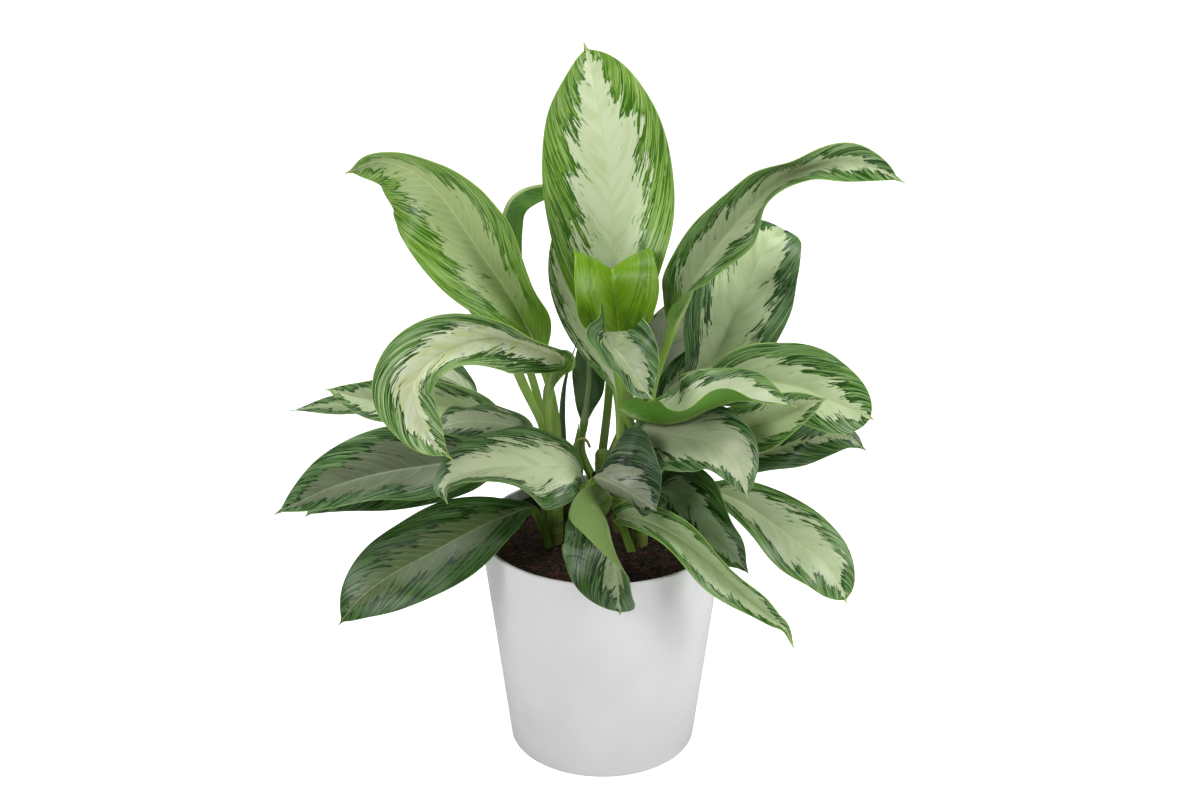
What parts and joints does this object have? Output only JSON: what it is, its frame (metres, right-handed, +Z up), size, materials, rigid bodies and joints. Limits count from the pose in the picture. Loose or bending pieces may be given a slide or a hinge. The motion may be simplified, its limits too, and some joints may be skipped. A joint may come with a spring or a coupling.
{
  "type": "potted_plant",
  "caption": "Chinese evergreen with silver and green variegated leaves on upright canes, in a smooth white tapered pot",
  "frame": {"origin": "middle of the pot's flat underside", "axes": "X to the right of the plant's front, Y towards its back, Z up"},
  "size_m": [0.6133, 0.4522, 0.7241],
  "materials": {
    "white_pot": "satin",
    "dark_liner": "matt",
    "soil": "rough",
    "cane_green": "satin",
    "leaf_variegated": "satin",
    "leaf_young": "satin",
    "dried_stalk": "matt"
  },
  "bodies": {
    "root": {"bud_brown": "dried_stalk", "cane_back": "cane_green", "cane_back_left": "cane_green", "cane_back_right": "cane_green", "cane_front": "cane_green", "cane_left": "cane_green", "cane_left_rear": "cane_green", "cane_middle": "cane_green", "cane_right": "cane_green", "cane_right_rear": "cane_green", "grower_pot": "dark_liner", "leaf_back_left_high": "leaf_variegated", "leaf_back_left_low": "leaf_variegated", "leaf_back_left_mid": "leaf_variegated", "leaf_back_middle": "leaf_variegated", "leaf_back_right_high": "leaf_variegated", "leaf_back_right_low": "leaf_variegated", "leaf_back_right_mid": "leaf_variegated", "leaf_back_top": "leaf_variegated", "leaf_behind_top": "leaf_variegated", "leaf_front_hanging": "leaf_variegated", "leaf_front_left": "leaf_variegated", "leaf_front_short": "leaf_variegated", "leaf_inner_small": "leaf_variegated", "leaf_left_arching": "leaf_variegated", "leaf_left_folded": "leaf_variegated", "leaf_left_high": "leaf_variegated", "leaf_left_low_1": "leaf_variegated", "leaf_left_low_2": "leaf_variegated", "leaf_left_lowest": "leaf_variegated", "leaf_left_mid_1": "leaf_variegated", "leaf_left_mid_2": "leaf_variegated", "leaf_left_short": "leaf_variegated", "leaf_nodding": "leaf_variegated", "leaf_right_behind_wide": "leaf_variegated", "leaf_right_broad": "leaf_variegated", "leaf_right_high": "leaf_variegated", "leaf_right_inner_1": "leaf_variegated", "leaf_right_inner_2": "leaf_variegated", "leaf_right_low_1": "leaf_variegated", "leaf_right_low_2": "leaf_variegated", "leaf_right_low_3": "leaf_variegated", "leaf_right_mid": "leaf_variegated", "leaf_right_narrow": "leaf_variegated", "leaf_right_rolled": "leaf_variegated", "leaf_right_upright": "leaf_variegated", "leaf_right_wide": "leaf_variegated", "leaf_top": "leaf_variegated", "leaf_young": "leaf_young", "pot": "white_pot", "soil": "soil", "spear_dark": "cane_green", "spear_green": "cane_green", "stalk_hooked": "dried_stalk"}
  },
  "joints": []
}
